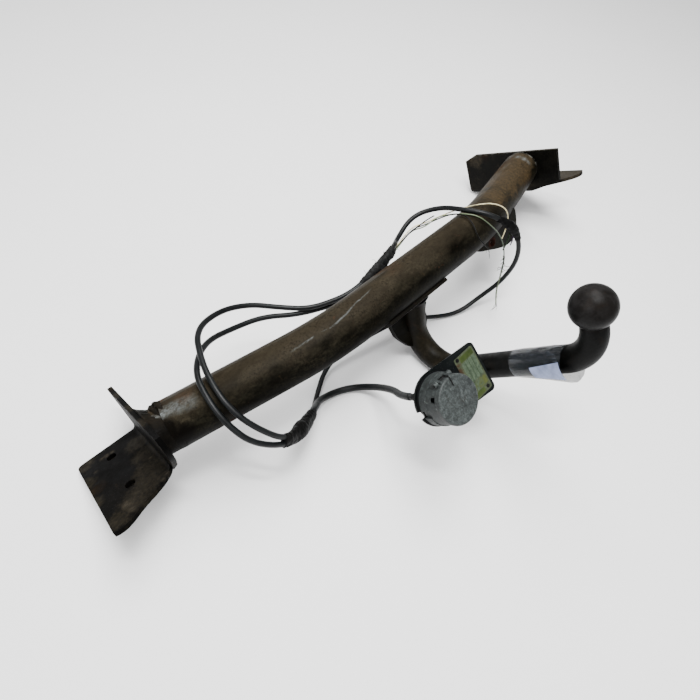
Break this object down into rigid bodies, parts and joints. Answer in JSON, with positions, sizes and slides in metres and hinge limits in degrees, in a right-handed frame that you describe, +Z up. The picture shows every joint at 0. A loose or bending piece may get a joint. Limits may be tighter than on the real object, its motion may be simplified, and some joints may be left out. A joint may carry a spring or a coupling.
{
  "type": "towbar",
  "caption": "Towbar: bent round crossbeam with folded side brackets, swan neck with coupling ball, lidded trailer socket and looped cable.",
  "frame": {"origin": "on the floor under the middle of the part's box, cable left out", "axes": "+Y along the crossbeam from the left to the right bracket, +X towards the coupling ball, +Z up, in the pose in which the part rests on the floor"},
  "size_m": [0.4306, 0.972, 0.305],
  "materials": {
    "beam_paint": "worn semi-gloss paint with rust",
    "bracket_paint": "worn paint with rust at the cut edges",
    "weld": "rough",
    "forging": "greasy, worn",
    "casting": "dull, mottled",
    "plate_metal": "printed, aged",
    "rivet": "satin",
    "rubber": "matte",
    "insert_plastic": "matte",
    "contact_brass": "satin",
    "screw_steel": "satin",
    "pin_steel": "satin",
    "cable_sheath": "semi-gloss",
    "tape_black": "wrinkled",
    "tape_grey": "frayed",
    "wire_black": "matte",
    "wire_green_white": "matte",
    "wire_yellow": "matte",
    "clear_film": "clear, creased",
    "label_paper": "matte"
  },
  "bodies": {
    "towbar": {"cable_gland": "rubber", "contact_insert": "insert_plastic", "contact_pins": "contact_brass", "crossbeam_tube": "beam_paint", "film_wrap": "clear_film", "front_tape_wrap": "tape_black", "left_end_weld": "weld", "left_side_bracket": "bracket_paint", "lid_hinge_pin": "pin_steel", "lid_spring": "pin_steel", "main_cable": "cable_sheath", "neck_gussets": "bracket_paint", "neck_weld": "weld", "paper_label": "label_paper", "rating_plate": "plate_metal", "rating_plate_rivets": "rivet", "rear_boot": "rubber", "rear_collar": "insert_plastic", "rear_tape_wrap": "tape_grey", "right_end_weld": "weld", "right_side_bracket": "bracket_paint", "saddle_plate": "beam_paint", "socket_arm": "bracket_paint", "socket_gasket": "rubber", "socket_housing": "casting", "socket_mounting_plate": "bracket_paint", "socket_nuts": "screw_steel", "socket_screws": "screw_steel", "swan_neck": "forging", "under_beam_lug": "bracket_paint", "wire_black": "wire_black", "wire_green_white": "wire_green_white", "wire_stub": "wire_black", "wire_yellow": "wire_yellow"},
    "lid": {"socket_lid": "casting", "lid_seal": "rubber"}
  },
  "joints": [
    {"name": "lid_hinge", "type": "hinge", "parent": "towbar", "child": "lid", "pos_m": [0.0987, -0.127, 0.18193], "axis": [0, -1, 0], "range_deg": [0, 105], "stiffness_Nm_per_rad": 0.02, "springref_deg": -34.38, "deforming": ["lid_spring"]}
  ]
}
